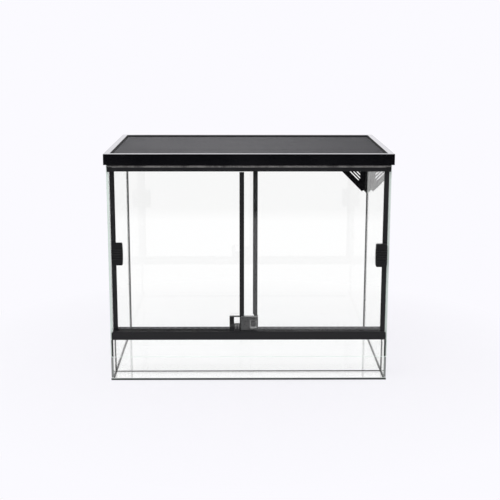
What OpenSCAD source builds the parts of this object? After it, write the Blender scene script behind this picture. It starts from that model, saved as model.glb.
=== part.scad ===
// Front-opening glass terrarium with two sliding doors, a lift-off mesh lid,
// a two-piece door latch and a louvred cable cover in the back corner.
// Millimetres. +Z is up, +X is to the right seen from the front, the front faces -Y.
// The origin is the centre of the tank's underside.

/* [Tank] */
// Width over the side panes
tank_w = 600; // [450:10:900]
// Depth from the front glazing to the back pane's outer face
tank_d = 380; // [300:10:600]
// Height of the side panes' top edges
tank_h = 484.2; // [300:0.1:700]
// Thickness of the tank panes
pane_t = 5; // [4:0.5:8]
// Thickness of a silicone joint between two panes
joint_t = 0.5; // [0.3:0.1:1]
// Leg of the triangular silicone fillet in an inner corner
bead = 2.6; // [1.5:0.1:5]
// Leg of the finer fillets round the lower front glass
fine_bead = 1.7; // [1:0.1:2.6]

/* [Lower front] */
// Height where the hanging vent glass starts
vent_glass_z = 53; // [30:1:80]
// Setback of the lower front glass from the front
lower_setback = 46; // [30:1:70]
// Height of its top edge, where the vent strip rests
lower_top = 106; // [96:0.5:108]
// Thickness of the perforated vent strip
vent_t = 1; // [0.8:0.1:2]
// Number of vent slots in one row
vent_columns = 40; // [10:1:60]
// Rows of vent slots
vent_rows = 3; // [1:1:4]
// Length of one vent slot
vent_slot_l = 10; // [5:0.5:20]
// Width of one vent slot
vent_slot_w = 3; // [1:0.1:4]

/* [Door tracks] */
// Height of the bottom track's underside
track_z = 92; // [60:1:140]
// Height of the bottom track
track_h = 18.4; // [12:0.1:30]
// Depth of both tracks
track_d = 24; // [20:0.5:30]
// Width of one sliding channel
channel_w = 8; // [6:0.5:10]
// Wall thickness of a track's lips
lip_t = 2; // [1.2:0.1:3]
// Thickness of the bottom track under its channels
track_floor = 4; // [3:0.5:6]
// Height of the top track's lower edge
top_track_z = 459.6; // [300:0.1:600]
// Height of the thick lower bead on the top track's front lip
drip_h = 8.8; // [4:0.1:12]
// How far that bead stands out
drip_out = 2; // [0:0.1:3]

/* [Doors] */
// Thickness of a door pane
door_t = 4; // [3:0.5:6]
// Height of a door pane's lower edge
door_z = 96.3; // [90:0.1:110]
// Height of a door pane
door_h = 369.3; // [200:0.1:500]
// Gap between a closed door's edge and the side pane
door_gap = 0.3; // [0.2:0.1:1]
// Depth of an edge profile along the door
edge_w = 9.8; // [6:0.1:14]
// Thickness of an edge profile
edge_t = 7; // [6:0.1:9]
// Left-hand edge of the front door, which covers the right half
front_door_edge = -20.2; // [-40:0.1:-10]
// Right-hand edge of the rear door, which covers the left half
rear_door_edge = 18.5; // [10:0.1:40]
// How far both doors are opened, for looking at the joints
door_open = 0; // [0:1:248]

/* [Handles] */
// Width of a pull handle
grip_w = 25; // [18:0.5:35]
// Height of a pull handle
grip_h = 49.4; // [35:0.1:80]
// Height of a handle's centre
grip_z = 280; // [200:1:360]
// How far the front door's handle stands out
grip_front = 10; // [5:0.5:16]
// How far the rear door's handle stands out
grip_rear = 4.6; // [3:0.1:4.7]

/* [Latch] */
// Width of the window frame on the front door's edge
frame_w = 24.4; // [22:0.1:40]
// Height of the frame's top edge
frame_top = 144; // [138:0.1:160]
// Width of the see-through window
window_w = 12.2; // [10:0.1:13]
// Height of the window's sill, where the thumb pad starts
sill_z = 127; // [124:0.5:130]
// How far the thumb pad stands out from the frame
pad_out = 4.5; // [3:0.1:8]
// Length of the bar on the rear door's edge
bar_l = 37.9; // [30:0.1:37.9]
// Height of the bar's top edge
bar_top = 142.3; // [138:0.1:160]
// Width of the bar's bevelled pocket
pocket_w = 15.6; // [12:0.1:18]
// Height of the bar's bevelled pocket
pocket_h = 19.4; // [12:0.1:22]
// Width of the pocket's bevel
pocket_bevel = 2.8; // [1:0.1:4]
// Depth of the pocket
pocket_d = 2.8; // [1:0.1:4]
// Running gap round the thumb pad
pad_gap = 0.3; // [0.2:0.05:0.5]

/* [Lid] */
// How far the lid's frame overhangs the tank on every side
lid_over = 4.5; // [3:0.5:8]
// Height of the lid's frame rails
rail_h = 23; // [16:0.5:30]
// Width of a frame rail
rail_w = 12.5; // [10:0.5:20]
// Wall thickness of a frame rail
rail_t = 1.5; // [1:0.1:2.5]
// Height of the frame's top face
lid_top = 496.5; // [320:0.5:720]
// How far the mesh lies below the frame's top face
mesh_drop = 3.4; // [2:0.1:6]
// Thickness of the mesh
mesh_t = 0.8; // [0.5:0.1:1.5]
// Openings of the mesh sheet from left to right
mesh_columns = 12; // [4:1:12]
// Openings of the mesh sheet from front to back
mesh_rows = 8; // [3:1:12]
// Width of the bars between the openings
mesh_bar = 4; // [2:0.5:8]

/* [Cable cover] */
// Leg of the cover's right-angled triangle
cover_leg = 140; // [110:1:180]
// Thickness of the inner and outer plates
cover_t = 2.4; // [1.6:0.1:4]
// Width of a louvre slot
slot_w = 2.4; // [1.5:0.1:5]
// Spacing of the louvre slots, square to their length
slot_pitch = 5.9; // [4:0.1:7]
// Number of louvre slots
slot_count = 9; // [1:1:10]
// Distance from the long edge to the first slot
slot_first = 14.1; // [13:0.1:20]
// Solid margin along the two short edges
slot_margin = 18.5; // [12:0.5:30]

/* [Hidden] */
$fn = 48;
eps = 0.01;

front_y = -tank_d / 2;
back_y = tank_d / 2;
half_w = tank_w / 2;
side_front_y = front_y + pane_t + joint_t;    // front edge of the side panes
side_in = half_w - pane_t;                    // inner face of the side panes
pane_x = side_in - joint_t;                   // half width of the panes set between them
floor_z = pane_t;                             // top of the base glass
pane_z = pane_t + joint_t;                    // foot of the upright panes
seal_t = 1.5;                                 // thickness of the seal on the base's front edge
lower_y = front_y + lower_setback;
back_in = back_y - pane_t;
track_end = half_w - 3;                       // the lips run this far over the side panes
front_ch = front_y + lip_t + channel_w / 2;   // middle of the front channel
rear_ch = front_y + track_d - lip_t - channel_w / 2;
rib_h = 1;                                    // runner rib under the door glass
door_side = side_in - door_gap;
web_t = 1.5;                                  // outer web of a door edge profile
latch_z = track_z + track_h + 0.3;            // underside of both latch parts
grip_l = 1.3;                                 // how far the frame's legs grip the glass
frame_right = front_door_edge + web_t + grip_l;
frame_left = frame_right - frame_w;
frame_y = front_ch - edge_t / 2;              // front of the frame's upper part
frame_back = front_ch + edge_t / 2;
window_r = front_door_edge + 0.4;             // right side of the window
window_l = window_r - window_w;
bar_right = rear_door_edge + 1.4;
bar_y = frame_back + 0.3;                     // front face of the bar
rail_x = half_w + lid_over;                   // outer half width of the lid
rail_y = tank_d / 2 + lid_over;
web_z = tank_h + 0.3;                         // underside of the tube that rests on the panes
mesh_z = lid_top - mesh_drop - mesh_t;
cover_x = side_in - cover_leg;                // where the long edge meets the top of the panes

steel = [0.16, 0.16, 0.17];
ink = [0.07, 0.07, 0.075];
clear_glass = [0.80, 0.90, 0.86, 0.35];

// A box given by its two opposite corners.
module span(a, b) {
    translate(a) cube(b - a);
}

// A triangular silicone fillet along +X, +Y or +Z, its right angle on the run's line.
module fillet(start, length, along, sx, sy) {
    turn = along == "x" ? [90, 0, 90] : along == "y" ? [90, 0, 180] : [0, 0, 0];
    flip = along == "y" ? -1 : 1;
    translate(start) rotate(turn) linear_extrude(length)
        polygon([[0, 0], [flip * sx * bead, 0], [0, sy * bead]]);
}

// ---- tank panes ----

module base_glass() {
    color(clear_glass) span([-half_w, front_y + seal_t, 0], [half_w, back_y, floor_z]);
}

module side_glass() {
    color(clear_glass) span([side_in, side_front_y, pane_z], [half_w, back_y, tank_h]);
}

module left_side_glass() {
    mirror([1, 0, 0]) side_glass();
}

module right_side_glass() {
    side_glass();
}

// The back pane's top right corner is cut off at 45 degrees for the cable cover.
cut_in = 9;
module back_glass() {
    color(clear_glass) translate([0, back_y, 0]) rotate([90, 0, 0]) linear_extrude(pane_t)
        polygon([
            [-pane_x, pane_z], [pane_x, pane_z],
            [pane_x, tank_h - cover_leg + cut_in + joint_t],
            [cover_x + cut_in, tank_h], [-pane_x, tank_h]]);
}

module lower_front_glass() {
    color(clear_glass) span([-pane_x, lower_y, pane_z], [pane_x, lower_y + pane_t, lower_top]);
}

module front_vent_glass() {
    color(clear_glass)
        span([-half_w + joint_t, front_y, vent_glass_z], [half_w - joint_t, front_y + pane_t, track_z]);
}

// Perforated strip that closes the gap between the track and the lower front glass.
module vent_strip() {
    front = front_y + track_d;
    back = lower_y + pane_t;
    open_y0 = front_y + track_d + 1;
    pitch_x = 2 * pane_x / vent_columns;
    pitch_y = (lower_y - open_y0) / vent_rows;
    color(steel) difference() {
        span([-pane_x, front, lower_top], [pane_x, back, lower_top + vent_t]);
        for (i = [0 : vent_columns - 1], j = [0 : vent_rows - 1])
            translate([-pane_x + (i + 0.5) * pitch_x, open_y0 + (j + 0.5) * pitch_y, lower_top - 1])
                translate([-vent_slot_l / 2, -vent_slot_w / 2, 0])
                    cube([vent_slot_l, vent_slot_w, vent_t + 2]);
    }
}

// ---- door tracks ----

// Section of the bottom track, x is depth from the front and y is height.
module bottom_section() {
    rear_wall = track_d - lip_t;
    mid0 = lip_t + channel_w;
    mid1 = rear_wall - channel_w;
    difference() {
        square([track_d, track_h]);
        translate([lip_t, track_floor - rib_h]) square([channel_w, track_h]);
        translate([mid1, track_floor - rib_h]) square([channel_w, track_h]);
        translate([mid0 + 1.3, track_floor + 1.5]) square([mid1 - mid0 - 2.6, track_h]);
    }
    for (x = [mid0 - channel_w / 2, mid1 + channel_w / 2])
        translate([x - 0.8, track_floor - rib_h - eps]) square([1.6, rib_h + eps]);
}

// The lips pass in front of the side panes, so the rest of the section is cut back at both ends.
module end_notches(z0, z1) {
    for (s = [-1, 1])
        translate([s * (door_side + 20), 0, 0])
            span([-20, side_front_y - 0.8, z0], [20, 0, z1]);
}

module bottom_track() {
    chamfer = 3;
    color(steel) difference() {
        translate([-track_end, front_y, track_z]) rotate([90, 0, 90])
            linear_extrude(2 * track_end) bottom_section();
        end_notches(track_z - 1, track_z + track_h + 1);
        for (s = [-1, 1])
            translate([s * track_end, 0, track_z + track_h]) rotate([0, 45, 0])
                cube([chamfer * sqrt(2), 2 * tank_d, chamfer * sqrt(2)], center = true);
    }
}

// Section of the top track, x is depth from the front and y is height above its lower edge.
module top_section() {
    h = tank_h - top_track_z;
    web = 3;
    bevel = 1.8 * drip_out;
    difference() {
        union() {
            square([track_d, h]);
            polygon([[0, 0], [0, drip_h + bevel], [-drip_out, drip_h], [-drip_out, 0]]);
        }
        for (x = [lip_t, track_d - lip_t - channel_w])
            translate([x, -1]) square([channel_w, h - web + 1]);
        translate([lip_t + channel_w + 1.3, -1])
            square([track_d - 2 * lip_t - 2 * channel_w - 2.6, h - web]);
    }
}

module top_track() {
    color(steel) difference() {
        translate([-track_end, front_y, top_track_z]) rotate([90, 0, 90])
            linear_extrude(2 * track_end) top_section();
        end_notches(top_track_z - 1, tank_h + 1);
    }
}

// Moulded cap wrapped round the end of the top track's front lip.
cap_l = 10;
cap_t = 0.6;
module top_track_cap() {
    z1 = top_track_z + drip_h;
    color(ink) difference() {
        span([track_end - cap_l, front_y - drip_out - cap_t, top_track_z - cap_t],
             [track_end + cap_t, front_y + lip_t - 1, z1 + 2]);
        span([track_end - cap_l - 1, front_y - drip_out, top_track_z],
             [track_end, front_y + lip_t, z1 + 6]);
        translate([track_end - cap_l - 1, front_y - drip_out - cap_t - eps, z1 + 2 + eps])
            rotate([0, 90, 0]) linear_extrude(cap_l + cap_t + 2)
                polygon([[0, 0], [2, 0], [0, 2]]);
    }
}

module top_track_left_cap() {
    mirror([1, 0, 0]) top_track_cap();
}

module top_track_right_cap() {
    top_track_cap();
}

// ---- seals and silicone seams ----

module base_front_seal() {
    bare = 0.9;
    color(ink) span([-half_w, front_y, bare], [half_w, front_y + seal_t, floor_z - bare]);
}

// Film under a side pane with a fillet along its inner face, broken by the lower front glass.
module floor_side_seam() {
    color(ink) {
        span([side_in - eps, side_front_y + 1, floor_z], [half_w - joint_t, back_y - 1, pane_z]);
        fillet([side_in, front_y + seal_t + 1, floor_z],
               lower_y - front_y - seal_t - 1 - bead, "y", -1, 1);
        fillet([side_in, lower_y + pane_t + bead, floor_z],
               back_in - lower_y - pane_t - 2 * bead, "y", -1, 1);
    }
}

module floor_left_seam() {
    mirror([1, 0, 0]) floor_side_seam();
}

module floor_right_seam() {
    floor_side_seam();
}

// Film under a pane that stands between the side panes, with a fillet of this leg on one side.
module floor_cross_seam(y, side, leg) {
    color(ink) {
        span([-side_in + 2 * eps, y, floor_z], [side_in - 2 * eps, y + pane_t, pane_z]);
        translate([-side_in + 2 * eps, y + (side > 0 ? pane_t : 0), floor_z])
            rotate([90, 0, 90]) linear_extrude(2 * side_in - 4 * eps)
                polygon([[-side * eps, 0], [side * leg, 0], [0, leg], [0, joint_t],
                         [-side * eps, joint_t]]);
    }
}

module floor_back_seam() {
    floor_cross_seam(back_in, -1, bead);
}

module floor_front_seam() {
    floor_cross_seam(lower_y, -1, fine_bead);
}

// Upright seam beside a pane set between the side panes: a film and a fillet of this leg.
module upright_seam(y, z0, z1, leg) {
    color(ink) {
        span([pane_x, y, z0], [side_in, y + pane_t, z1]);
        translate([0, 0, z0]) linear_extrude(z1 - z0)
            polygon([[side_in, y + eps], [side_in, y - leg], [side_in - leg, y], [pane_x, y],
                     [pane_x, y + eps]]);
    }
}

module back_right_seam() {
    upright_seam(back_in, floor_z + bead, tank_h - cover_leg + cut_in, bead);
}

module back_left_seam() {
    mirror([1, 0, 0]) upright_seam(back_in, floor_z + bead, tank_h, bead);
}

module lower_right_seam() {
    upright_seam(lower_y, floor_z + bead, lower_top, fine_bead);
}

module lower_left_seam() {
    mirror([1, 0, 0]) lower_right_seam();
}

// Seam between the hanging vent glass and the front edge of a side pane.
module vent_right_seam() {
    over = 1.7;
    leg = 0.7;
    color(ink) translate([0, 0, vent_glass_z]) linear_extrude(track_z - vent_glass_z)
        polygon([[half_w - over, front_y + pane_t], [half_w - over, side_front_y],
                 [side_in, side_front_y], [side_in, side_front_y + leg],
                 [side_in - leg, front_y + pane_t]]);
}

module vent_left_seam() {
    mirror([1, 0, 0]) vent_right_seam();
}

// ---- corner cable cover ----

// Right triangle in the back's plane with its right angle at the top right, tips cut square.
// side and top move the short edges in, rise moves the long edge towards the corner.
module corner_triangle(side, top, rise, tip) {
    a = cover_leg - rise;
    polygon([
        [-side, -top], [-side, side - a + 2 * tip], [-side - tip, side - a + tip],
        [top - a + tip, -top - tip], [top - a + 2 * tip, -top]]);
}

// Slots parallel to the long edge, ending on a smaller triangle with blunt tips.
module louvres() {
    intersection() {
        corner_triangle(slot_margin, slot_margin, 17, 4.8);
        for (i = [0 : slot_count - 1])
            translate([-cover_leg / 2, -cover_leg / 2]) rotate(-45)
                translate([-cover_leg, slot_first + i * slot_pitch - slot_w / 2])
                    square([2 * cover_leg, slot_w]);
    }
}

// Puts a shape drawn from the corner into the back's plane, its face at y and thickness t.
module in_back_corner(y, t) {
    translate([side_in, y + t, tank_h]) rotate([90, 0, 0]) linear_extrude(t) children();
}

module cover_inner() {
    rim = 4.4;
    rim_out = 0.8;
    ring = 2;
    color(ink) difference() {
        union() {
            in_back_corner(back_in - cover_t, cover_t) corner_triangle(6.8, 6.8, 0, 7);
            in_back_corner(back_in - cover_t - rim_out, rim_out + eps) difference() {
                corner_triangle(6.8, 6.8, 0, 7);
                corner_triangle(6.8 + rim, 6.8 + rim, rim * sqrt(2), 5);
            }
            in_back_corner(back_in - eps, pane_t + eps) difference() {
                corner_triangle(7, 7, 12, 2);
                corner_triangle(7 + ring, 7 + ring, 12 + ring * sqrt(2), 1);
            }
        }
        in_back_corner(back_in - 8, pane_t + 12) louvres();
    }
}

// Outer clamp: a flat frame behind the glass, open over the whole louvred field.
module cover_outer() {
    window = slot_margin - 3.5;
    color(ink) difference() {
        in_back_corner(back_y, cover_t) corner_triangle(-3, 1.2, 6.6, 1);
        in_back_corner(back_y - 1, cover_t + 2) corner_triangle(window, window, 15.5, 2);
    }
}

// ---- lift-off lid ----

// Rail section: x runs inwards from the outer face, y is height.
// A skirt hangs outside the panes and a closed tube rests on their top edges.
rail_edge = 0.3; // chamfer on the rail's outer top edge
module rail_section() {
    skirt_z = lid_top - rail_h;
    ledge = 5;
    difference() {
        translate([0, web_z]) square([rail_w, lid_top - web_z]);
        translate([rail_t, web_z + rail_t])
            square([rail_w - 2 * rail_t, lid_top - web_z - 2 * rail_t]);
        translate([-eps, lid_top - rail_edge])
            polygon([[0, 0], [rail_edge + eps, rail_edge + eps], [0, rail_edge + eps]]);
    }
    translate([0, skirt_z]) square([rail_t, web_z - skirt_z + eps]);
    translate([rail_w - eps, mesh_z - rail_t]) square([ledge, rail_t]);
}

// One rail with both ends mitred at 45 degrees. half is its outer half length.
module rail(half, out) {
    reach = 2 * rail_w;
    color(ink) intersection() {
        translate([-half, -out, 0]) rotate([90, 0, 90]) linear_extrude(2 * half) rail_section();
        translate([0, -out, lid_top - 2 * rail_h]) linear_extrude(3 * rail_h)
            polygon([[-half, 0], [half, 0], [half - reach, reach], [reach - half, reach]]);
    }
}

module lid_front_rail() {
    rail(rail_x, rail_y);
}

module lid_back_rail() {
    rotate([0, 0, 180]) rail(rail_x, rail_y);
}

module lid_left_rail() {
    rotate([0, 0, -90]) rail(rail_y, rail_x);
}

module lid_right_rail() {
    rotate([0, 0, 90]) rail(rail_y, rail_x);
}

mesh_x = rail_x - rail_w - 0.4;
mesh_y = rail_y - rail_w - 0.4;
rim_w = 6; // plain edge of the mesh sheet under the rails' ledges
module lid_mesh() {
    pitch_x = (2 * (mesh_x - rim_w) + mesh_bar) / mesh_columns;
    pitch_y = (2 * (mesh_y - rim_w) + mesh_bar) / mesh_rows;
    color([0.35, 0.35, 0.37]) difference() {
        span([-mesh_x, -mesh_y, mesh_z], [mesh_x, mesh_y, mesh_z + mesh_t]);
        for (i = [0 : mesh_columns - 1], j = [0 : mesh_rows - 1])
            translate([rim_w - mesh_x + i * pitch_x, rim_w - mesh_y + j * pitch_y, mesh_z - 1])
                cube([pitch_x - mesh_bar, pitch_y - mesh_bar, mesh_t + 2]);
    }
}

module lid_spline() {
    w = 2.4;
    h = 1.4;
    color(ink) difference() {
        span([-mesh_x, -mesh_y, mesh_z + mesh_t], [mesh_x, mesh_y, mesh_z + mesh_t + h]);
        span([-mesh_x + w, -mesh_y + w, mesh_z], [mesh_x - w, mesh_y - w, lid_top]);
    }
}

// ---- sliding doors ----

// A door pane between two edge profiles. x0 and x1 are the outer faces of the profiles.
module door_glass(x0, x1, y) {
    color(clear_glass)
        span([x0 + web_t, y - door_t / 2, door_z], [x1 - web_t, y + door_t / 2, door_z + door_h]);
}

// Channel section clipped over a pane's upright edge, open towards +X.
module edge_profile(z0, z1) {
    color(ink) translate([0, 0, z0]) linear_extrude(z1 - z0) difference() {
        translate([0, -edge_t / 2]) square([edge_w, edge_t]);
        translate([web_t, -door_t / 2]) square([edge_w, door_t]);
        for (s = [-1, 1])
            translate([0, s * edge_t / 2]) rotate(45) square(0.9, center = true);
    }
}

module front_door_glass() {
    translate([-door_open, 0, 0]) door_glass(front_door_edge, door_side, front_ch);
}

module front_door_outer_profile() {
    translate([door_side - door_open, front_ch, 0]) mirror([1, 0, 0])
        edge_profile(door_z, door_z + door_h);
}

module front_door_inner_profile() {
    translate([front_door_edge - door_open, front_ch, 0])
        edge_profile(frame_top + 0.1, top_track_z - 2.5);
}

module rear_door_glass() {
    translate([door_open, 0, 0]) door_glass(-door_side, rear_door_edge, rear_ch);
}

module rear_door_outer_profile() {
    translate([door_open - door_side, rear_ch, 0]) edge_profile(door_z, door_z + door_h);
}

// The profile's lower inside corner is cut at 45 degrees above the latch bar.
module rear_door_inner_profile() {
    z0 = bar_top + 0.1;
    cut = 6;
    color(ink) difference() {
        translate([rear_door_edge + door_open, rear_ch, 0]) mirror([1, 0, 0])
            edge_profile(z0, top_track_z - 1);
        translate([rear_door_edge + door_open - edge_w, 0, z0]) rotate([0, 45, 0])
            cube([cut, 2 * tank_d, cut], center = true);
    }
}

// Barrel-shaped outline of a pull handle: straight ends, gently bowed sides, rounded corners.
module grip_outline() {
    bow = 0.9;
    r = (grip_h * grip_h / 4 + bow * bow) / (2 * bow);
    corner = 2.5;
    intersection() {
        square([grip_w, grip_h], center = true);
        translate([grip_w / 2 - r, 0]) circle(r, $fn = 720);
        translate([r - grip_w / 2, 0]) circle(r, $fn = 720);
        union() {
            square([grip_w, grip_h - 2 * corner], center = true);
            square([grip_w - 2 * corner - 2 * bow, grip_h], center = true);
            for (sx = [-1, 1], sz = [-1, 1])
                translate([sx * (grip_w / 2 - corner - bow), sz * (grip_h / 2 - corner)])
                    circle(corner + eps);
        }
    }
}

// Plan of a handle: a flat back on the door and a front rounded at both edges.
module grip_plan(depth) {
    r = min(4, depth / 2);
    translate([-grip_w / 2, -depth + r]) square([grip_w, depth - r]);
    translate([-grip_w / 2 + r, -depth]) square([grip_w - 2 * r, depth]);
    for (s = [-1, 1])
        translate([s * (grip_w / 2 - r), -depth + r]) circle(r);
}

// Pull handle clipped over an outer edge profile, at x of its outer face, opening towards +X.
module handle(depth, grooves) {
    back = edge_t / 2;
    color(ink) difference() {
        union() {
            intersection() {
                translate([grip_w / 2, 0, -grip_h]) linear_extrude(2 * grip_h)
                    translate([0, -back]) grip_plan(depth);
                translate([grip_w / 2, 2 * back, 0]) rotate([90, 0, 0]) linear_extrude(60) grip_outline();
            }
            translate([edge_w + 0.2, -back - 0.4, -grip_h / 2 + 5])
                cube([grip_w - edge_w - 4, back - door_t / 2 + 0.4, grip_h - 10]);
        }
        for (i = [0 : grooves - 1])
            translate([-5, -back - depth, (i - (grooves - 1) / 2) * 5.4]) rotate([0, 90, 0])
                cylinder(r = 1.4, h = 40);
    }
}

module front_door_handle() {
    translate([door_side - door_open, front_ch, grip_z]) mirror([1, 0, 0]) handle(grip_front, 5);
}

module rear_door_handle() {
    translate([door_open - door_side, rear_ch, grip_z]) handle(grip_rear, 5);
}

// ---- latch ----

// Front door's half: a frame gripping the glass edge, with a finger window over the thumb pad.
module latch_body() {
    brow = 2.5;      // how far the lower part stands out from the upper part
    lintel = 1.7;    // height of the frame over the window
    foot = 1;        // height of the wall under the pad
    round_off = 0.8; // chamfer on the upright front edges
    color(ink) translate([-door_open, 0, 0]) difference() {
        translate([frame_left, 0, 0]) rotate([90, 0, 90]) linear_extrude(frame_w)
            polygon([
                [frame_back, latch_z], [frame_back, frame_top], [frame_y + 0.6, frame_top],
                [frame_y, frame_top - 0.6], [frame_y, sill_z], [frame_y - brow, sill_z - 5],
                [frame_y - brow, latch_z]]);
        span([window_l, frame_y - brow - 1, latch_z + foot],
             [window_r, frame_back + 1, frame_top - lintel]);
        // slot for the glass
        span([front_door_edge + web_t, front_ch - door_t / 2, latch_z - 1],
             [frame_right + 1, front_ch + door_t / 2, frame_top + 1]);
        // guides for the pad's flanges, open at the back
        span([window_l - 1.2, front_ch + door_t / 2, latch_z + foot],
             [window_r + 1.2, frame_back + 1, sill_z - 1]);
        for (x = [frame_left, frame_right])
            translate([x, frame_y, frame_top]) rotate(45)
                cube([round_off * sqrt(2), round_off * sqrt(2), 2 * (frame_top - sill_z)], center = true);
    }
}

// Sprung thumb pad: a steep thumb scoop with two finger grooves, and flanges behind the frame.
module latch_button() {
    left = window_l + pad_gap;
    right = window_r - pad_gap;
    foot_z = latch_z + 1 + pad_gap;
    top_z = sill_z - 0.1;
    drop = 7;                 // height and depth of the 45 degree scoop
    face = frame_y - pad_out;
    flange_out = 0.9 + pad_gap;
    color(ink) translate([-door_open, 0, 0]) difference() {
        union() {
            translate([left, 0, 0]) rotate([90, 0, 90]) linear_extrude(right - left)
                polygon([
                    [frame_back, foot_z], [frame_back, top_z], [face + drop + 1, top_z],
                    [face, top_z - drop - 1], [face, foot_z + 1], [face + 0.8, foot_z]]);
            span([left - flange_out, front_ch + door_t / 2 + pad_gap, foot_z],
                 [right + flange_out, frame_back, sill_z - 1.5]);
        }
        for (s = [-1, 1])
            translate([(left + right) / 2 + s * 2.9, face, top_z - drop + 1.8]) rotate([-45, 0, 0])
                cylinder(r = 3.2, h = 60, center = true);
        // spring seat in the back
        translate([(left + right) / 2, frame_back + 1, (foot_z + sill_z) / 2 - 1]) rotate([90, 0, 0])
            cylinder(r = 3, h = 4);
    }
}

// Bevelled pocket whose four walls slope to a flat floor; x and z are its centre, y its face.
module pocket_cut(x, y, z) {
    w = pocket_w / 2;
    h = pocket_h / 2;
    b = pocket_bevel;
    d = pocket_d;
    translate([x, y, z]) intersection() {
        translate([0, 0, -h - b]) linear_extrude(2 * (h + b))
            polygon([[-w - b, -d], [w + b, -d], [w - b, d], [b - w, d]]);
        translate([-w - b, 0, 0]) rotate([90, 0, 90]) linear_extrude(2 * (w + b))
            polygon([[-d, -h - b], [-d, h + b], [d, h - b], [d, b - h]]);
    }
}

// Rear door's half: a thick bar on the glass, hooked round its edge behind the front door's glass.
module latch_bar() {
    glass = rear_ch - door_t / 2;           // front face of the rear door's glass
    edge = rear_door_edge - web_t;          // its right-hand edge
    leg = rear_ch + edge_t / 2;
    left = bar_right - bar_l;
    hook_l = 6;                             // how far the hook's leg reaches along the glass
    bevel = 0.8;
    color(ink) translate([door_open, 0, 0]) difference() {
        intersection() {
            translate([0, 0, latch_z]) linear_extrude(bar_top - latch_z)
                polygon([
                    [left, bar_y + bevel], [left + bevel, bar_y], [bar_right - bevel, bar_y],
                    [bar_right, bar_y + bevel], [bar_right, leg], [edge - hook_l, leg],
                    [edge - hook_l, glass + door_t], [edge, glass + door_t],
                    [edge, glass], [left, glass]]);
            // side view with a sloping top front edge
            translate([left - 1, 0, 0]) rotate([90, 0, 90]) linear_extrude(bar_l + 2)
                polygon([
                    [bar_y - 1, latch_z - 1], [bar_y - 1, bar_top - 2 * bevel - 1],
                    [bar_y + 1, bar_top - bevel + 1], [leg + 1, bar_top - bevel + 1], [leg + 1, latch_z - 1]]);
        }
        pocket_cut(bar_right - 2.2 - pocket_w / 2, bar_y, latch_z + 4.7 + pocket_h / 2);
    }
}

base_glass();
left_side_glass();
right_side_glass();
back_glass();
lower_front_glass();
front_vent_glass();
vent_strip();
bottom_track();
top_track();
top_track_left_cap();
top_track_right_cap();
base_front_seal();
floor_left_seam();
floor_right_seam();
floor_back_seam();
floor_front_seam();
back_left_seam();
back_right_seam();
vent_left_seam();
vent_right_seam();
lower_left_seam();
lower_right_seam();
cover_inner();
cover_outer();
lid_front_rail();
lid_back_rail();
lid_left_rail();
lid_right_rail();
lid_mesh();
lid_spline();
front_door_glass();
front_door_outer_profile();
front_door_inner_profile();
front_door_handle();
latch_body();
latch_button();
rear_door_glass();
rear_door_outer_profile();
rear_door_inner_profile();
rear_door_handle();
latch_bar();
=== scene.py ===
# %% [markdown]
# # A glass terrarium with sliding doors
# The object is a tank of clear float glass glued with black silicone. Two glass doors slide in
# black tracks, a mesh lid lifts off the top, and a small moulded latch sits where the doors overlap.
# The solid pieces come from the CAD frame. This script gives each of them its finish, weaves the
# lid's wire mesh, and sets the floor, the light and the camera.

# %% Load the frame
import math
import bmesh
import bpy
from mathutils import Matrix, Vector


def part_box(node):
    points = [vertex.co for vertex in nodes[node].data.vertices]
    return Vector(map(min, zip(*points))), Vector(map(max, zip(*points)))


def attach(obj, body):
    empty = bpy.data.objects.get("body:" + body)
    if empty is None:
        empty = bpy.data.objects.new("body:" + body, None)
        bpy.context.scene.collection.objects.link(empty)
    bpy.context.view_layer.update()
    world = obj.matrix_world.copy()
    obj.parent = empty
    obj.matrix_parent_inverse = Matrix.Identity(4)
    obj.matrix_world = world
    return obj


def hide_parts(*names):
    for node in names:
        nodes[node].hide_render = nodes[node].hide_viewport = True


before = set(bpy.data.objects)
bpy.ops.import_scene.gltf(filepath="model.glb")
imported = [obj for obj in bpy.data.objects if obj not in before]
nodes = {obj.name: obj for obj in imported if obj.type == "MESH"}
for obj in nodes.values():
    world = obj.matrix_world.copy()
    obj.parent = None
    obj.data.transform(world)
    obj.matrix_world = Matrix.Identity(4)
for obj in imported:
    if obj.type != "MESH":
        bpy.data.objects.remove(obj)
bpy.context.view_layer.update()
MM = 0.001
print("pieces in the frame:", len(nodes))

# %% [markdown]
# ## Camera
# This is the usual catalogue view: a long lens, a little above the lid, pitched down by twelve
# degrees. The three angles are turned in the order in which a tripod head is set: pan, then tilt,
# then roll.

# %% Camera
CAMERA_PLACE = Vector((-20.8, -2379.9, 765.8)) * MM
PAN, TILT, ROLL = 0.010473, 0.213435, 0.001455
LENS = 75.80
SENSOR_WIDTH = 36
FARTHEST_SEEN = 100


def place_camera():
    data = bpy.data.cameras.new("view_camera")
    data.lens = LENS
    data.sensor_width = SENSOR_WIDTH
    data.clip_end = FARTHEST_SEEN
    camera = bpy.data.objects.new("view_camera", data)
    bpy.context.scene.collection.objects.link(camera)
    pan = Matrix.Rotation(-PAN, 4, "Z")
    tilt = Matrix.Rotation(math.pi / 2 - TILT, 4, "X")
    roll = Matrix.Rotation(ROLL, 4, "Z")
    camera.matrix_world = Matrix.Translation(CAMERA_PLACE) @ pan @ tilt @ roll
    bpy.context.scene.camera = camera
    return camera


camera = place_camera()
print("camera stands", round(-camera.location.y, 2), "m in front of the tank's middle")

# %% [markdown]
# ## Node helpers
# Every finish is a small tree of shader nodes. These helpers keep the trees readable: one adds a
# node and fills its sockets by name, one starts a material with a Principled shader, and the others
# do small sums with masks.

# %% Node helpers


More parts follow.
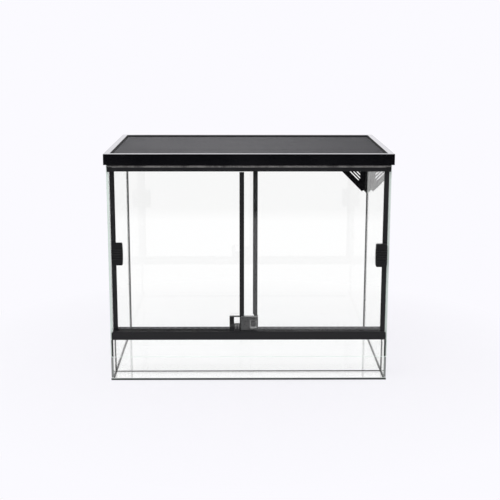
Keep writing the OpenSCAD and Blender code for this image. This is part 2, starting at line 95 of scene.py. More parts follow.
def add_node(tree, kind, settings=None, **sockets):
    """A node of this kind, with its settings and its input sockets filled by name."""
    node = tree.nodes.new(kind)
    for key, value in (settings or {}).items():
        setattr(node, key, value)
    for key, value in sockets.items():
        socket = node.inputs[key.replace("_", " ")]
        if isinstance(value, bpy.types.NodeSocket):
            tree.links.new(value, socket)
        else:
            socket.default_value = value
    return node


def new_material(name, colour, **sockets):
    """A material with one Principled shader. Returns the material, its tree and the shader."""
    material = bpy.data.materials.new(name)
    material.use_nodes = True
    tree = material.node_tree
    shader = tree.nodes["Principled BSDF"]
    shader.inputs["Base Color"].default_value = (*colour, 1)
    for key, value in sockets.items():
        shader.inputs[key.replace("_", " ")].default_value = value
    return material, tree, shader


def math_node(tree, operation, a, b=0.0, clamp=False):
    """A Math node with its two inputs set or linked."""
    node = tree.nodes.new("ShaderNodeMath")
    node.operation = operation
    node.use_clamp = clamp
    for index, value in enumerate((a, b)):
        if isinstance(value, bpy.types.NodeSocket):
            tree.links.new(value, node.inputs[index])
        else:
            node.inputs[index].default_value = value
    return node.outputs[0]


def map_range(tree, value, low, high, to_low, to_high):
    """Maps a socket's value from one range to another, clamped."""
    node = add_node(tree, "ShaderNodeMapRange", {"clamp": True}, Value=value,
                    From_Min=low, From_Max=high, To_Min=to_low, To_Max=to_high)
    return node.outputs[0]


def axis_of(tree, vector, axis):
    """One axis of a vector socket."""
    return add_node(tree, "ShaderNodeSeparateXYZ", Vector=vector).outputs[axis]


print("node helpers for Blender", bpy.app.version_string)

# %% [markdown]
# ## Patterns, colours and shaders
# Patterns use Object coordinates, so they stay put on a piece when a door slides or the lid is
# lifted. Most colours are mottled: a mask moves them between a darker and a lighter shade of
# themselves, because no real surface is one flat colour.

# %% Patterns, colours and shaders


def object_place(tree):
    """The Object coordinates of the piece."""
    return tree.nodes.new("ShaderNodeTexCoord").outputs["Object"]


def noise_on(tree, place, scale, detail, **sockets):
    """A noise mask on these coordinates."""
    noise = add_node(tree, "ShaderNodeTexNoise", Vector=place, Scale=scale, Detail=detail, **sockets)
    return noise.outputs["Fac"]


def mix_colours(tree, factor, a, b):
    """Mixes two colours by a mask. Each colour is three numbers or a socket."""
    node = tree.nodes.new("ShaderNodeMix")
    node.data_type = "RGBA"
    tree.links.new(factor, node.inputs[0])
    for socket, value in ((node.inputs[6], a), (node.inputs[7], b)):
        if isinstance(value, bpy.types.NodeSocket):
            tree.links.new(value, socket)
        else:
            socket.default_value = (*value, 1)
    return node.outputs[2]


def mottle(tree, mask, colour, darker, lighter):
    """Moves a colour between two shades of itself as the mask goes from zero to one."""
    return mix_colours(tree, mask, [c * darker for c in colour], [c * lighter for c in colour])


def mix_shaders(tree, factor, a, b):
    """Mixes two shaders: a where the factor is zero, b where it is one."""
    node = tree.nodes.new("ShaderNodeMixShader")
    for socket, value in zip(node.inputs, (factor, a, b)):
        tree.links.new(value, socket)
    return node.outputs["Shader"]


def add_bump(tree, shader, height, strength, distance):
    """Raises a shader's surface by a height mask. The distance is in metres."""
    bump = add_node(tree, "ShaderNodeBump", Strength=strength, Distance=distance, Height=height)
    tree.links.new(bump.outputs["Normal"], shader.inputs["Normal"])


# %% [markdown]
# ## Node groups
# An effect that turns up in more than one finish is a node group. It is made once and placed in
# each material with its own values. Five of them follow.

# %% Node groups


def new_group(name, inputs, outputs):
    """A shader node group whose inputs and outputs are (name, kind, default) rows."""
    group = bpy.data.node_groups.new(name, "ShaderNodeTree")
    for side, rows in (("INPUT", inputs), ("OUTPUT", outputs)):
        for title, kind, *default in rows:
            socket = group.interface.new_socket(
                name=title, in_out=side, socket_type="NodeSocket" + kind)
            if default:
                socket.default_value = default[0]
    source = group.nodes.new("NodeGroupInput").outputs
    result = group.nodes.new("NodeGroupOutput").inputs
    print("effect:", name)
    return group, source, result


def use_group(tree, group, **sockets):
    """Places a node group in a material's tree and returns its outputs."""
    return add_node(tree, "ShaderNodeGroup", {"node_tree": group}, **sockets).outputs


# %% [markdown]
# ## Moulded grain
# The mould of a plastic part is spark-eroded, which leaves the part with a fine, even grain. Noise
# gives the pits and a Voronoi pattern their rounded bottoms. A second, coarse noise is for the
# slight blotches in the gloss.

# %% Moulded grain


def make_grain_group():
    group, source, result = new_group(
        "moulded_grain",
        [("Scale", "Float", 1400.0), ("Blotch Scale", "Float", 60.0)],
        [("Height", "Float"), ("Blotch", "Float")])
    place = object_place(group)
    pits = noise_on(group, place, source["Scale"], 3.0, Roughness=0.6)
    cells = add_node(group, "ShaderNodeTexVoronoi", Vector=place, Scale=source["Scale"])
    height = math_node(group, "ADD", math_node(group, "MULTIPLY", pits, 0.6),
                       math_node(group, "MULTIPLY", cells.outputs["Distance"], 0.4))
    group.links.new(height, result["Height"])
    group.links.new(noise_on(group, place, source["Blotch Scale"], 4.0), result["Blotch"])
    return group


GRAIN = make_grain_group()

# %% [markdown]
# ## Drawn lines
# An extrusion keeps faint straight lines from its die. They are noise that is squeezed hard across
# the piece and left long the way it was drawn.

# %% Drawn lines
DRAWN_ALONG_X = (2.0, 900.0, 900.0)
DRAWN_ALONG_Z = (900.0, 900.0, 2.0)


def make_drawn_lines_group():
    group, source, result = new_group(
        "drawn_lines",
        [("Stretch", "Vector", DRAWN_ALONG_X)],
        [("Lines", "Float"), ("Haze", "Float")])
    place = object_place(group)
    squeezed = add_node(group, "ShaderNodeMapping", Vector=place, Scale=source["Stretch"])
    lines = noise_on(group, squeezed.outputs["Vector"], 1.0, 4.0, Roughness=0.65)
    group.links.new(lines, result["Lines"])
    group.links.new(noise_on(group, place, 14.0, 5.0), result["Haze"])
    return group


DRAWN_LINES = make_drawn_lines_group()

# %% [markdown]
# ## Settled dust
# Dust lies on faces that look up, in soft drifts with specks in them. On the top track the same
# mask, turned far past its range, paints a light line that is a painted highlight.

# %% Settled dust
DUST_GREY = (0.40, 0.39, 0.38)


def make_dust_group():
    group, source, result = new_group(
        "settled_dust", [("Amount", "Float", 0.12)], [("Dust", "Float")])
    place = object_place(group)
    normal = group.nodes.new("ShaderNodeNewGeometry").outputs["Normal"]
    up = map_range(group, axis_of(group, normal, "Z"), 0.3, 1.0, 0.0, 1.0)
    drifts = map_range(group, noise_on(group, place, 45.0, 6.0), 0.35, 0.75, 0.2, 1.0)
    specks = map_range(group, noise_on(group, place, 700.0, 2.0), 0.5, 0.72, 0.3, 1.0)
    dust = math_node(group, "MULTIPLY", math_node(group, "MULTIPLY", up, drifts), specks)
    dust = math_node(group, "MULTIPLY", dust, source["Amount"], clamp=True)
    group.links.new(dust, result["Dust"])
    return group


DUST = make_dust_group()

# %% [markdown]
# ## Worn edges
# Black parts first show a lighter rub on their sharp edges. A Bevel node rounds the normal there,
# so an edge is where the rounded normal and the real one differ. Noise breaks the line up.

# %% Worn edges


def make_worn_edges_group():
    group, source, result = new_group(
        "worn_edges",
        [("Width", "Float", 0.0005), ("Breakup", "Float", 160.0)],
        [("Edge", "Float")])
    normal = group.nodes.new("ShaderNodeNewGeometry").outputs["Normal"]
    rounded = add_node(group, "ShaderNodeBevel", {"samples": 4}, Radius=source["Width"])
    sameness = add_node(group, "ShaderNodeVectorMath", {"operation": "DOT_PRODUCT"})
    group.links.new(rounded.outputs["Normal"], sameness.inputs[0])
    group.links.new(normal, sameness.inputs[1])
    edge = map_range(group, sameness.outputs["Value"], 0.985, 0.86, 0.0, 1.0)
    noise = noise_on(group, object_place(group), source["Breakup"], 5.0)
    broken = map_range(group, noise, 0.42, 0.62, 0.0, 1.0)
    group.links.new(math_node(group, "MULTIPLY", edge, broken), result["Edge"])
    return group


WORN_EDGES = make_worn_edges_group()


def wear_edges(tree, body, share, worn_colour, width, breakup):
    """Mixes up to this share of the worn colour over the body colour along sharp edges."""
    edge = use_group(tree, WORN_EDGES, Width=width, Breakup=breakup)["Edge"]
    return mix_colours(tree, math_node(tree, "MULTIPLY", edge, share), body, worn_colour)


# %% [markdown]
# ## Painted slope highlight
# The small bevels of the thumb pad and of the latch bar's pocket are painted a lighter grey: a
# painted highlight where the lamps would catch them. They are made as rubbed by fingers, which is a
# guess. Those bevels are turned halfway away from the front, so their true normal has a Y part of
# the square root of a half. The mask can start above a given height.

# %% Painted slope highlight
HALFWAY = math.sqrt(0.5)


def make_slope_highlight_group():
    group, source, result = new_group(
        "painted_slope_highlight",
        [("Lowest", "Float", 0.0), ("Strength", "Float", 0.5)],
        [("Rub", "Float")])
    place = object_place(group)
    normal = group.nodes.new("ShaderNodeNewGeometry").outputs["True Normal"]
    forward = math_node(group, "ABSOLUTE", axis_of(group, normal, "Y"))
    off_slope = math_node(group, "ABSOLUTE", math_node(group, "SUBTRACT", forward, HALFWAY))
    slope = map_range(group, off_slope, 0.1, 0.2, 1.0, 0.0)
    above = math_node(group, "SUBTRACT", axis_of(group, place, "Z"), source["Lowest"])
    upper = map_range(group, above, 0.0, 1.5 * MM, 0.0, 1.0)
    uneven = map_range(group, noise_on(group, place, 300.0, 4.0), 0.3, 0.7, 0.75, 1.0)
    slope_highlight = math_node(group, "MULTIPLY", math_node(group, "MULTIPLY", slope, upper), uneven)
    slope_highlight = math_node(group, "MULTIPLY", slope_highlight, source["Strength"], clamp=True)
    group.links.new(slope_highlight, result["Rub"])
    return group


SLOPE_HIGHLIGHT = make_slope_highlight_group()

# %% [markdown]
# ## Ground edges
# The cut edges of the panes are ground, so they scatter the light: a matt greenish grey instead of
# a view into the pane. Each pane is thin along one axis, and every face that doesn't look along
# that axis is an edge, so the true normal is all that the mask needs. Low on the side panes, where
# no track covers the edge, it is a darker grey, as if sealant had been wiped along it. That cause
# is a guess.

# %% Ground edges
EDGE_GREY = (0.52, 0.585, 0.55)
LOW_EDGE_GREY = (0.20, 0.21, 0.205)
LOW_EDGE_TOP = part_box("front_vent_glass")[0].z
LOW_EDGE_FADE = 3 * MM


def edge_mask(tree, thin_axis):
    """One on the narrow faces of a pane that is thin along this axis, zero on its big faces."""
    normal = tree.nodes.new("ShaderNodeNewGeometry").outputs["True Normal"]
    along = math_node(tree, "ABSOLUTE", axis_of(tree, normal, thin_axis))
    return math_node(tree, "LESS_THAN", along, 0.5)


def add_ground_edge(tree, darker_low):
    """The matt shader of a ground edge, with the fine scratches of the belt that ground it."""
    edge = add_node(tree, "ShaderNodeBsdfPrincipled", Specular_IOR_Level=0.3)
    place = object_place(tree)
    clouds = noise_on(tree, place, 35.0, 4.0)
    tone = mottle(tree, clouds, EDGE_GREY, 0.88, 1.12)
    if darker_low:
        low = map_range(tree, axis_of(tree, place, "Z"), LOW_EDGE_TOP - LOW_EDGE_FADE, LOW_EDGE_TOP, 1.0, 0.0)
        tone = mix_colours(tree, low, tone, LOW_EDGE_GREY)
    tree.links.new(tone, edge.inputs["Base Color"])
    tree.links.new(map_range(tree, clouds, 0.3, 0.7, 0.4, 0.6), edge.inputs["Roughness"])
    add_bump(tree, edge, noise_on(tree, place, 900.0, 3.0), 0.3, 0.05 * MM)
    return edge.outputs["BSDF"]


print("darker grey on the side panes' edges reaches up to", round(LOW_EDGE_TOP / MM, 1), "mm")

# %% [markdown]
# ## Float glass
# The panes are clear float glass. The little iron in it gives a green that is seen only where the
# light has travelled far through a pane. A real absorbing volume does this by itself: five
# millimetres stay clear and four hundred turn faintly green. Lamps are let through by the usual
# trick, a transparent shader for shadow rays, or the tank would stand in a black shadow. Float
# glass is cast on molten tin, so its big faces are perfectly smooth and have no roughness at all.
#
# The index of refraction is not the real one. Float glass has about 1.52, and 1.42 is set here for
# the look: the panes then mirror less of the white studio over the black parts behind them. The
# strength of the green is set the same way. Neither is a measured value to copy into other work.

# %% Float glass
PANE_IOR = 1.42
PANE_GREEN = (0.30, 0.74, 0.60)
PANE_DENSITY = 0.6
LAMP_TINT = (0.985, 0.992, 0.99)


def make_glass(name, thin_axis, darker_low=False):
    material, tree, glass = new_material(
        name, (1, 1, 1), Roughness=0.0, IOR=PANE_IOR, Transmission_Weight=1.0)
    edge = add_ground_edge(tree, darker_low)
    pane = mix_shaders(tree, edge_mask(tree, thin_axis), glass.outputs["BSDF"], edge)
    clear = add_node(tree, "ShaderNodeBsdfTransparent", Color=(*LAMP_TINT, 1))
    rays = tree.nodes.new("ShaderNodeLightPath").outputs
    surface = mix_shaders(tree, rays["Is Shadow Ray"], pane, clear.outputs["BSDF"])
    inside = add_node(
        tree, "ShaderNodeVolumeAbsorption", Color=(*PANE_GREEN, 1), Density=PANE_DENSITY)
    output = tree.nodes["Material Output"]
    tree.links.new(surface, output.inputs["Surface"])
    tree.links.new(inside.outputs["Volume"], output.inputs["Volume"])
    return material


SIDE_GLASS = make_glass("side_glass", "X", darker_low=True)
FACE_GLASS = make_glass("face_glass", "Y")
BASE_GLASS = make_glass("base_glass", "Z")
print("glass:", SIDE_GLASS.name, FACE_GLASS.name, BASE_GLASS.name)

# %% [markdown]
# ## Black extrusions
# The tracks and the profiles on the door edges are extruded in one black satin plastic. Fine lines
# run along the way it was drawn. Tracks run along X and door profiles along Z, so the maker takes
# the direction as a value. The top track's narrow ledge shows as a thin light line below the lid.
# That line is a painted highlight: the settled dust mask, turned far past its range, paints the
# track's upward faces a light grey.

# %% Black extrusions
TRACK_DUST_GREY = (0.35, 0.34, 0.33)
LEDGE_HIGHLIGHT_GREY = (0.21, 0.205, 0.20)


def make_extrusion(name, colour, stretch, dust_and_highlight_amount=0.10, dust_and_highlight_colour=TRACK_DUST_GREY):
    material, tree, shader = new_material(name, colour, Specular_IOR_Level=0.22)
    drawn = use_group(tree, DRAWN_LINES, Stretch=stretch)
    body = mottle(tree, drawn["Haze"], colour, 0.8, 1.25)
    rubbed = wear_edges(tree, body, 0.15, (0.08, 0.08, 0.08), width=0.5 * MM, breakup=160.0)
    # For the top track the amount is far past the mask's range, so this paints its upward faces
    # light grey as a painted highlight.
    dust = use_group(tree, DUST, Amount=dust_and_highlight_amount)["Dust"]
    tree.links.new(mix_colours(tree, dust, rubbed, dust_and_highlight_colour), shader.inputs["Base Color"])
    haze = map_range(tree, drawn["Haze"], 0.3, 0.7, 0.30, 0.44)
    lines = math_node(tree, "MULTIPLY", drawn["Lines"], 0.06)
    tree.links.new(math_node(tree, "ADD", haze, lines), shader.inputs["Roughness"])
    add_bump(tree, shader, drawn["Lines"], 0.25, 0.08 * MM)
    return material


TRACK_BLACK = make_extrusion("track_black", (0.0085, 0.0085, 0.0095), DRAWN_ALONG_X)
# The top track's upward faces carry a painted highlight: a light grey line under the lid.
TOP_TRACK_BLACK = make_extrusion("top_track_black", (0.0075, 0.0075, 0.0085), DRAWN_ALONG_X,
                                 dust_and_highlight_amount=12.0, dust_and_highlight_colour=LEDGE_HIGHLIGHT_GREY)
PROFILE_BLACK = make_extrusion("profile_black", (0.0075, 0.0075, 0.0085), DRAWN_ALONG_Z)
print("extrusions:", TRACK_BLACK.name, TOP_TRACK_BLACK.name, PROFILE_BLACK.name)

# %% [markdown]
# ## Moulded plastic
# Handles, cable cover and latch are injection moulded. The grain breaks up their highlights. One
# maker gives them all: the cable cover is the dullest, and the latch has a shallower grain and more
# gloss, with a painted highlight in light grey on the bevels of its thumb pad and of its pocket. On
# the pad the painted highlight starts above the lower rim. The spline that holds the lid's mesh is
# a soft rubber cord, which is a moulding with a dull surface.

# %% Moulded plastic
# The light grey of the painted highlight on the latch's bevels, and the height where it starts on
# the pad.
HIGHLIGHT_GREY = (0.2, 0.2, 0.2)
PAD_HIGHLIGHT_LOWEST = 121 * MM


def make_moulding(name, colour, grain_scale, roughness, specular, worn,
                  grain_depth=0.35, slope_highlight=0.0, highlight_lowest=0.0):
    material, tree, shader = new_material(name, colour, Specular_IOR_Level=specular)
    grain = use_group(tree, GRAIN, Scale=grain_scale, Blotch_Scale=60.0)
    body = mottle(tree, grain["Blotch"], colour, 0.82, 1.2)
    rubbed = wear_edges(tree, body, 0.4, (worn, worn, worn), width=0.6 * MM, breakup=220.0)
    if slope_highlight:
        lit_slopes = use_group(tree, SLOPE_HIGHLIGHT, Strength=slope_highlight, Lowest=highlight_lowest)["Rub"]
        # Here the latch's bevels get a light grey, a painted highlight.
        rubbed = mix_colours(tree, lit_slopes, rubbed, HIGHLIGHT_GREY)
    dust = use_group(tree, DUST, Amount=0.12)["Dust"]
    tree.links.new(mix_colours(tree, dust, rubbed, DUST_GREY), shader.inputs["Base Color"])
    blotches = map_range(tree, grain["Blotch"], 0.3, 0.7, roughness - 0.05, roughness + 0.08)
    tree.links.new(blotches, shader.inputs["Roughness"])
    add_bump(tree, shader, grain["Height"], grain_depth, 0.12 * MM)
    return material


MOULDED_BLACK = make_moulding("moulded_black", (0.0065, 0.0065, 0.0072), grain_scale=1400.0,
                              roughness=0.42, specular=0.15, worn=0.06)
COVER_BLACK = make_moulding("cover_black", (0.0035, 0.0035, 0.0042), grain_scale=1400.0,
                            roughness=0.50, specular=0.02, worn=0.02)
LATCH_BLACK = make_moulding("latch_black", (0.005, 0.005, 0.0055), grain_scale=1600.0,
                            roughness=0.30, specular=0.2, worn=0.04, grain_depth=0.12)
PAD_BLACK = make_moulding("pad_black", (0.002, 0.002, 0.0025), grain_scale=1600.0,
                          roughness=0.24, specular=0.35, worn=0.04, grain_depth=0.08,
                          slope_highlight=0.45, highlight_lowest=PAD_HIGHLIGHT_LOWEST)
BAR_BLACK = make_moulding("bar_black", (0.004, 0.004, 0.0045), grain_scale=1600.0,
                          roughness=0.24, specular=0.25, worn=0.06, grain_depth=0.08, slope_highlight=0.7)
SPLINE_RUBBER = make_moulding("spline_rubber", (0.006, 0.006, 0.006), grain_scale=1100.0,
                              roughness=0.62, specular=0.12, worn=0.03)
print("mouldings:", MOULDED_BLACK.name, COVER_BLACK.name, LATCH_BLACK.name, PAD_BLACK.name,
      BAR_BLACK.name, SPLINE_RUBBER.name)

# %% [markdown]
# ## Silicone
# Cured silicone is smooth and slightly wavy where a finger or a spatula has drawn the bead, so its
# highlights wander. A low, slow bump does that.

# %% Silicone


def make_silicone(name, colour):
    material, tree, shader = new_material(name, colour, Coat_Weight=0.2, Coat_Roughness=0.2)
    place = object_place(tree)
    smear = noise_on(tree, place, 260.0, 4.0)
    tree.links.new(mottle(tree, smear, colour, 0.7, 1.5), shader.inputs["Base Color"])
    tree.links.new(map_range(tree, smear, 0.35, 0.7, 0.24, 0.42), shader.inputs["Roughness"])
    add_bump(tree, shader, noise_on(tree, place, 90.0, 3.0), 0.5, 0.4 * MM)
    return material


SILICONE_BLACK = make_silicone("silicone_black", (0.010, 0.010, 0.011))
print("seams:", SILICONE_BLACK.name)

# %% [markdown]
# ## Painted lid frame
# The lid's rails are aluminium tube with a gloss black stove enamel. Under a clear coat the paint
# has a very slight orange peel. At a flat angle the coat mirrors the bright room, which is why the
# tops of the rails look white from the front.

# %% Painted lid frame


def make_enamel(name, colour):
    material, tree, shader = new_material(
        name, colour, Coat_Weight=1.0, Coat_Roughness=0.03, Coat_IOR=1.6, Specular_IOR_Level=0.4)
    place = object_place(tree)
    haze = noise_on(tree, place, 9.0, 5.0)
    body = mottle(tree, haze, colour, 0.7, 1.4)
    rubbed = wear_edges(tree, body, 0.15, (0.2, 0.2, 0.21), width=0.5 * MM, breakup=140.0)
    dust = use_group(tree, DUST, Amount=0.10)["Dust"]
    tree.links.new(mix_colours(tree, dust, rubbed, DUST_GREY), shader.inputs["Base Color"])
    tree.links.new(map_range(tree, haze, 0.3, 0.7, 0.12, 0.2), shader.inputs["Roughness"])
    add_bump(tree, shader, noise_on(tree, place, 420.0, 2.0), 0.12, 0.06 * MM)
    return material


FRAME_BLACK = make_enamel("frame_black", (0.0022, 0.0022, 0.0030))
print("lid frame:", FRAME_BLACK.name)

# %% [markdown]
# ## Coated wire and perforated strip
# The lid's mesh is drawn steel wire with a dark grey coating that is faintly cloudy. The vent strip
# is the same coating on sheet aluminium.

# %% Coated wire and perforated strip


def make_coated_metal(name, colour, roughness):
    material, tree, shader = new_material(name, colour, Metallic=0.35)
    place = object_place(tree)
    clouds = noise_on(tree, place, 26.0, 6.0)
    body = mottle(tree, clouds, colour, 0.94, 1.06)
    dust = use_group(tree, DUST, Amount=0.05)["Dust"]
    tree.links.new(mix_colours(tree, dust, body, DUST_GREY), shader.inputs["Base Color"])
    cloudy = map_range(tree, clouds, 0.3, 0.7, roughness, roughness + 0.04)
    tree.links.new(cloudy, shader.inputs["Roughness"])
    add_bump(tree, shader, noise_on(tree, place, 1500.0, 2.0), 0.3, 0.05 * MM)
    return material


MESH_GREY = make_coated_metal("mesh_grey", (0.029, 0.0285, 0.032), 0.42)
STRIP_BLACK = make_coated_metal("strip_black", (0.03, 0.03, 0.033), 0.5)
print("coated metal:", MESH_GREY.name, STRIP_BLACK.name)

# %% [markdown]
# ## Finishes on the frame's pieces
# Each CAD piece keeps its shape and gets one finish. The table reads like a parts list.

# %% Finishes on the frame's pieces
FINISHES = [
    (BASE_GLASS, "base_glass"),
    (SIDE_GLASS, "left_side_glass right_side_glass"),
    (FACE_GLASS, "back_glass lower_front_glass front_vent_glass front_door_glass rear_door_glass"),
    (TRACK_BLACK, "bottom_track"),
    (TOP_TRACK_BLACK, "top_track"),
    (PROFILE_BLACK, "front_door_outer_profile front_door_inner_profile "
                    "rear_door_outer_profile rear_door_inner_profile"),
    (MOULDED_BLACK, "front_door_handle rear_door_handle cover_outer "
                    "top_track_left_cap top_track_right_cap"),
    (COVER_BLACK, "cover_inner"),
    (LATCH_BLACK, "latch_body"),
    (PAD_BLACK, "latch_button"),
    (BAR_BLACK, "latch_bar"),
    (SILICONE_BLACK, "base_front_seal floor_left_seam floor_right_seam floor_back_seam "
                     "floor_front_seam back_left_seam back_right_seam vent_left_seam "
                     "vent_right_seam lower_left_seam lower_right_seam"),
    (SPLINE_RUBBER, "lid_spline"),
    (FRAME_BLACK, "lid_front_rail lid_back_rail lid_left_rail lid_right_rail"),
    (STRIP_BLACK, "vent_strip"),
    (MESH_GREY, "lid_mesh"),
]


def finish(piece, material):
    """Puts one material on all of a piece's faces."""
    piece.data.materials.clear()
    piece.data.materials.append(material)


for material, names in FINISHES:
    for name in names.split():
        finish(nodes[name], material)
print("dressed:", sum(len(names.split()) for _, names in FINISHES), "of", len(nodes))

# %% [markdown]
# ## The lid's wire mesh
# A screen this size has some four hundred wires. A texture with holes would look flat from the
# side, so real wires are laid: one thin hexagonal rod is made with a bmesh operator and copied
# across the frame, first one way and then, one wire's thickness higher, the other way. Eight faces
# a wire keep the whole mesh light.

# %% The lid's wire mesh
WIRE_RADIUS = 0.20 * MM
WIRE_PITCH = 2.2 * MM


def add_object(bm, name):
    """Makes a finished bmesh an object of the scene."""
    mesh = bpy.data.meshes.new(name)
    bm.to_mesh(mesh)
    bm.free()
    piece = bpy.data.objects.new(name, mesh)
    bpy.context.scene.collection.objects.link(piece)
    return piece


def lay_wires(bm, length, span, centre, along_x):
    """Lays parallel rods of this length across span and returns how many."""
    count = int(span / WIRE_PITCH)
    start = -count * WIRE_PITCH / 2
    turn = Matrix.Rotation(math.pi / 2, 4, "Y" if along_x else "X")
    for step in range(count + 1):
        shift = start + step * WIRE_PITCH
        offset = Vector((0, shift, 0)) if along_x else Vector((shift, 0, 0))
        bmesh.ops.create_cone(
            bm, cap_ends=True, segments=6, radius1=WIRE_RADIUS, radius2=WIRE_RADIUS, depth=length,
            matrix=Matrix.Translation(centre + offset) @ turn)
    return count + 1


def build_wire_mesh():
    low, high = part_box("lid_mesh")
    width = high.x - low.x
    depth = high.y - low.y
    middle = (low + high) / 2
    half_step = Vector((0, 0, WIRE_RADIUS))
    bm = bmesh.new()
    across = lay_wires(bm, width, depth - 2 * WIRE_RADIUS, middle - half_step, True)
    along = lay_wires(bm, depth, width - 2 * WIRE_RADIUS, middle + half_step, False)
    piece = add_object(bm, "lid_wire_mesh")
    print("wires:", across, "and", along, "faces:", len(piece.data.polygons))
    return piece


wire_mesh = build_wire_mesh()
finish(wire_mesh, MESH_GREY)
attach(wire_mesh, "lid")
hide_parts("lid_mesh")

# %% [markdown]
# ## Floor and backdrop
# The studio is all white. The floor is a real surface near the tank, so that it takes the tank's
# soft shadow, and fades into plain light further out, so that no horizon shows. Mirror and glass
# see the same white. Light that has come through a pane sees a neutral white, because the glass
# gives it a tint of its own.

# %% Floor and backdrop
BACKDROP = (0.965, 0.957, 1.0)
WHITE = (1, 1, 1)
FLOOR_GREY = (0.60, 0.596, 0.618)
FADE_START, FADE_END = 0.24, 0.75
GLOW_NEAR, GLOW_FAR = 0.78, 1.0
FLOOR_REACH = 30
FLOOR_GAP = 0.2 * MM


def backdrop_tint(tree, rays):
    """The backdrop's colour, or plain white for light that has come through a pane."""
    return mix_colours(tree, rays["Is Transmission Ray"], BACKDROP, WHITE)


def make_floor_material():
    material, tree, shader = new_material(
        "studio_floor", FLOOR_GREY, Roughness=0.7, Specular_IOR_Level=0.2)
    radius = add_node(tree, "ShaderNodeVectorMath", {"operation": "LENGTH"})
    tree.links.new(object_place(tree), radius.inputs[0])
    share = map_range(
        tree, radius.outputs["Value"], FADE_START, FADE_END, GLOW_NEAR, GLOW_FAR)
    rays = tree.nodes.new("ShaderNodeLightPath").outputs
    glow = add_node(tree, "ShaderNodeEmission", Color=backdrop_tint(tree, rays), Strength=1.0)
    surface = mix_shaders(tree, share, shader.outputs["BSDF"], glow.outputs["Emission"])
    tree.links.new(surface, tree.nodes["Material Output"].inputs["Surface"])
    return material


def build_floor():
    bm = bmesh.new()
    bmesh.ops.create_grid(bm, x_segments=1, y_segments=1, size=FLOOR_REACH)
    floor = add_object(bm, "floor")
    floor.location.z = -FLOOR_GAP
    finish(floor, make_floor_material())
    print("floor:", [round(side) for side in floor.dimensions[:2]], "m")


build_floor()

# %% [markdown]
# ## Black flags
# Gloss black only looks black when it has something dark to mirror. In a studio, black cards called
# flags stand round the camera for that. One lies on the floor, beyond the part that the lower glass
# mirrors, and one stands behind the camera. They exist for mirrored light only: their material is
# clear until a ray has been mirrored once, so they neither shade the tank nor show through its
# glass from any side. Sharp images that come out of the tank through a pane are spared too, because
# the back glass would mirror the cards as a dark band. The lying card fades in from its near edge,
# so that no hard line crosses the doors. No real card is black to some rays and clear to others, so
# this is a trick of rendering. The cards stand in front only. Seen straight on from other sides,
# gloss black looks dark grey, and at a glancing angle it mirrors the studio and is almost white.

# %% Black flags
FLAG_EDGE = -2.04
FLAG_FADE = 0.28


def make_flag_material():
    material, tree, card = new_material(
        "flag_black", (0.012, 0.012, 0.013), Roughness=0.9, Specular_IOR_Level=0.0)
    clear = tree.nodes.new("ShaderNodeBsdfTransparent")
    rays = tree.nodes.new("ShaderNodeLightPath").outputs
    mirrored = math_node(tree, "GREATER_THAN", rays["Glossy Depth"], 0.5)
    crossed = math_node(tree, "GREATER_THAN", rays["Transmission Depth"], 2.5)
    pane_image = math_node(tree, "MULTIPLY", rays["Is Singular Ray"], crossed)
    mirrored = math_node(tree, "SUBTRACT", mirrored, pane_image, clamp=True)
    ahead = axis_of(tree, object_place(tree), "Y")
    solid = map_range(tree, ahead, FLAG_EDGE, FLAG_EDGE - FLAG_FADE, 0.0, 1.0)
    seen = math_node(tree, "MULTIPLY", mirrored, solid)
    surface = mix_shaders(tree, seen, clear.outputs["BSDF"], card.outputs["BSDF"])
    tree.links.new(surface, tree.nodes["Material Output"].inputs["Surface"])
    return material


FLAG_BLACK = make_flag_material()
print("card material:", FLAG_BLACK.name)

# %% [markdown]
# ## Placing the flags
# Each card is a grid of one face. The lying one starts two metres in front of the tank's middle,
# and the standing one closes the view behind the camera.

# %% Placing the flags
LYING = Matrix.Identity(4)
STANDING = Matrix.Rotation(math.pi / 2, 4, "X")
FLAG_WIDTH = 9
FLOOR_FLAG_DEPTH = 4.1
FLOOR_FLAG_PLACE = (0, FLAG_EDGE - FLOOR_FLAG_DEPTH / 2, MM)
CAMERA_FLAG_HEIGHT = 3.2
CAMERA_FLAG_PLACE = (0, -5.0, 1.5)


def add_flag(name, centre, height, turn):
    """A black card of this height that only mirrored light can see."""
    bm = bmesh.new()
    size = Matrix.Diagonal((FLAG_WIDTH / 2, height / 2, 1, 1))
    bmesh.ops.create_grid(bm, x_segments=1, y_segments=1, size=1,
                          matrix=Matrix.Translation(Vector(centre)) @ turn @ size)
    flag = add_object(bm, name)
    flag.visible_camera = False
    flag.visible_diffuse = False
    flag.visible_volume_scatter = False
    flag.visible_shadow = False
    finish(flag, FLAG_BLACK)
    print("card:", name, FLAG_WIDTH, "by", height, "m")


add_flag("floor_flag", FLOOR_FLAG_PLACE, FLOOR_FLAG_DEPTH, LYING)
add_flag("camera_flag", CAMERA_FLAG_PLACE, CAMERA_FLAG_HEIGHT, STANDING)

# %% [markdown]
# ## World
# The world shows the backdrop's colour wherever the camera, a mirror or a pane looks past the
# floor. For matt surfaces it is a weaker, even fill light instead, so that the lamps do the shading.

# %% World
FILL = 0.5


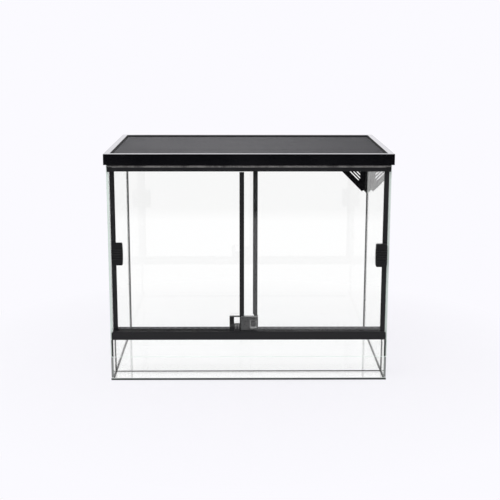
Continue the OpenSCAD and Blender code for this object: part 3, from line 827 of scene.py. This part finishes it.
def build_world():
    world = bpy.data.worlds.new("studio")
    bpy.context.scene.world = world
    world.use_nodes = True
    tree = world.node_tree
    rays = tree.nodes.new("ShaderNodeLightPath").outputs
    shown = tree.nodes["Background"]
    shown.inputs["Strength"].default_value = 1.0
    tree.links.new(backdrop_tint(tree, rays), shown.inputs["Color"])
    fill = add_node(tree, "ShaderNodeBackground", Color=(*WHITE, 1), Strength=FILL)
    seen = math_node(tree, "MAXIMUM", rays["Is Camera Ray"], rays["Is Glossy Ray"])
    seen = math_node(tree, "MAXIMUM", seen, rays["Is Transmission Ray"])
    surface = mix_shaders(tree, seen, fill.outputs["Background"], shown.outputs["Background"])
    tree.links.new(surface, tree.nodes["World Output"].inputs["Surface"])
    print("world fill:", FILL)


build_world()

# %% [markdown]
# ## Lamps
# All lamps are large and soft, as in a product studio: a big one overhead in front of the tank, a
# long narrow one in front, aimed at the lid, that draws a clean line along rails and tracks, and
# one on each side. The camera doesn't see them, but glass and gloss do.

# %% Lamps
TANK_MIDDLE = (0, 0, 0.25)
LID_FRONT = (0, -0.19, 0.47)
LAMPS = [
    # name, place, aimed at, width and height in metres, watts
    ("overhead_softbox", (-0.4, -1.0, 2.1), TANK_MIDDLE, (1.6, 1.3), 34),
    ("front_strip", (0, -1.75, 1.6), LID_FRONT, (1.8, 0.3), 6),
    ("left_softbox", (-2.2, -1.2, 1.5), TANK_MIDDLE, (1.6, 1.6), 12),
    ("right_softbox", (2.4, -1.4, 1.3), TANK_MIDDLE, (1.4, 1.4), 12),
]


def add_softbox(name, place, target, size, watts):
    data = bpy.data.lights.new(name, "AREA")
    data.shape = "RECTANGLE"
    data.size, data.size_y = size
    data.energy = watts
    lamp = bpy.data.objects.new(name, data)
    lamp.location = place
    lamp.rotation_euler = (Vector(target) - Vector(place)).to_track_quat("-Z", "Y").to_euler()
    bpy.context.scene.collection.objects.link(lamp)
    lamp.visible_camera = False


for lamp_row in LAMPS:
    add_softbox(*lamp_row)
print("lamps:", [lamp_row[0] for lamp_row in LAMPS])

# %% [markdown]
# The plain view transform shows colours as they are written.

bpy.context.scene.view_settings.view_transform = "Standard"
bpy.context.view_layer.update()
